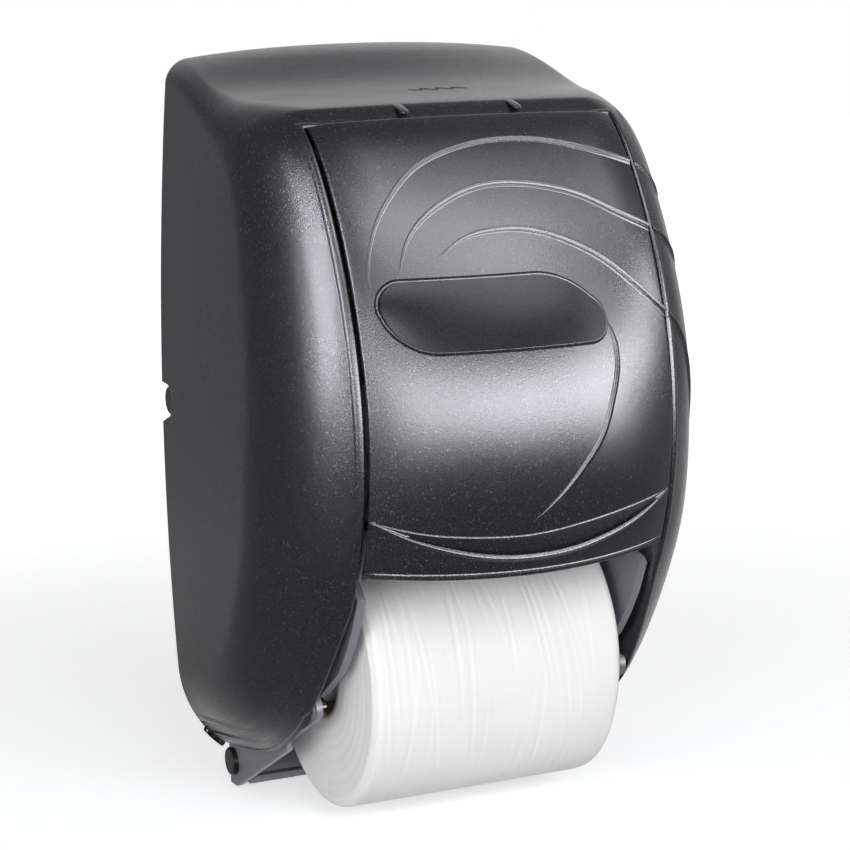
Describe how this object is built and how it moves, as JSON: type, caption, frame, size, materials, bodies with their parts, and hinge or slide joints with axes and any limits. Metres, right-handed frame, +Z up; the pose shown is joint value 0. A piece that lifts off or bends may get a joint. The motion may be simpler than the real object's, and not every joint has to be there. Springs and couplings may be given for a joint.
{
  "type": "bath tissue dispenser",
  "caption": "Wall dispenser for two bath tissue rolls, one above the other, with a hinged smoke cover, spring spindles, a swing carrier and a key latch.",
  "frame": {"origin": "middle of the back plate's bottom edge, on the wall plane", "axes": "+Z up, +Y into the wall, +X to the right seen from the front; the cover faces -Y"},
  "size_m": [0.1924, 0.1782, 0.3197],
  "materials": {
    "smoke_plastic": "pearl smoke, glossy",
    "name_plate": "glossy, blank",
    "grey_plastic": "satin",
    "black_gloss": "glossy",
    "screw_steel": "plated",
    "keeper_steel": "plated sheet",
    "washer_rubber": "matt",
    "spindle_plastic": "satin",
    "spring_steel": "drawn wire",
    "card": "raw card",
    "paper": "soft tissue"
  },
  "bodies": {
    "back": {"back_plate": "grey_plastic", "side_rail_left": "grey_plastic", "side_rail_right": "grey_plastic", "rail_screws": "screw_steel", "hinge_pins": "black_gloss", "side_studs": "black_gloss", "latch_keeper": "keeper_steel", "keeper_screws": "screw_steel", "swing_pins": "screw_steel", "friction_washers": "washer_rubber", "lower_sleeve": "spindle_plastic", "lower_spring": "spring_steel"},
    "cover": {"hood": "smoke_plastic", "front_panel": "smoke_plastic", "name_plate": "name_plate", "panel_screws": "screw_steel", "hinge_arm_left": "grey_plastic", "hinge_arm_right": "grey_plastic", "arm_screws": "screw_steel", "latch_bracket": "grey_plastic", "latch_pin": "screw_steel", "latch_spring": "spring_steel"},
    "latch": {"latch_lever": "grey_plastic"},
    "carrier": {"swing_arm_left": "grey_plastic", "swing_arm_right": "grey_plastic", "cross_bar": "screw_steel", "reserve_sleeve": "spindle_plastic", "reserve_spring": "spring_steel"},
    "lower_plunger_body": {"lower_plunger": "spindle_plastic"},
    "reserve_plunger_body": {"reserve_plunger": "spindle_plastic"},
    "lower_paper": {"lower_roll": "paper", "lower_core": "card"},
    "reserve_paper": {"reserve_roll": "paper", "reserve_core": "card"}
  },
  "joints": [
    {"name": "cover_hinge", "type": "hinge", "parent": "back", "child": "cover", "pos_m": [0, -0.006, 0.011], "axis": [1, 0, 0], "range_deg": [0, 95]},
    {"name": "latch_pivot", "type": "hinge", "parent": "cover", "child": "latch", "pos_m": [0.0095, -0.034, 0.287], "axis": [1, 0, 0], "range_deg": [-9, 0], "stiffness_Nm_per_rad": 0.05, "springref_deg": -17.19, "deforming": ["latch_spring"]},
    {"name": "lower_plunger_slide", "type": "slide", "parent": "back", "child": "lower_plunger_body", "axis": [-1, 0, 0], "range_m": [0, 0.01], "stiffness_N_per_m": 600, "springref_m": -0.01, "deforming": ["lower_spring"]},
    {"name": "reserve_plunger_slide", "type": "slide", "parent": "carrier", "child": "reserve_plunger_body", "axis": [-1, 0, 0], "range_m": [0, 0.01], "stiffness_N_per_m": 600, "springref_m": -0.01, "deforming": ["reserve_spring"]},
    {"name": "carrier_swing", "type": "hinge", "parent": "back", "child": "carrier", "pos_m": [0, -0.014, 0.186], "axis": [1, 0, 0], "range_deg": [0, 25]},
    {"name": "lower_roll_spin", "type": "hinge", "parent": "back", "child": "lower_paper", "pos_m": [0, -0.068, 0.063], "axis": [1, 0, 0], "continuous": true},
    {"name": "reserve_roll_spin", "type": "hinge", "parent": "carrier", "child": "reserve_paper", "pos_m": [0, -0.068, 0.208], "axis": [1, 0, 0], "continuous": true}
  ]
}
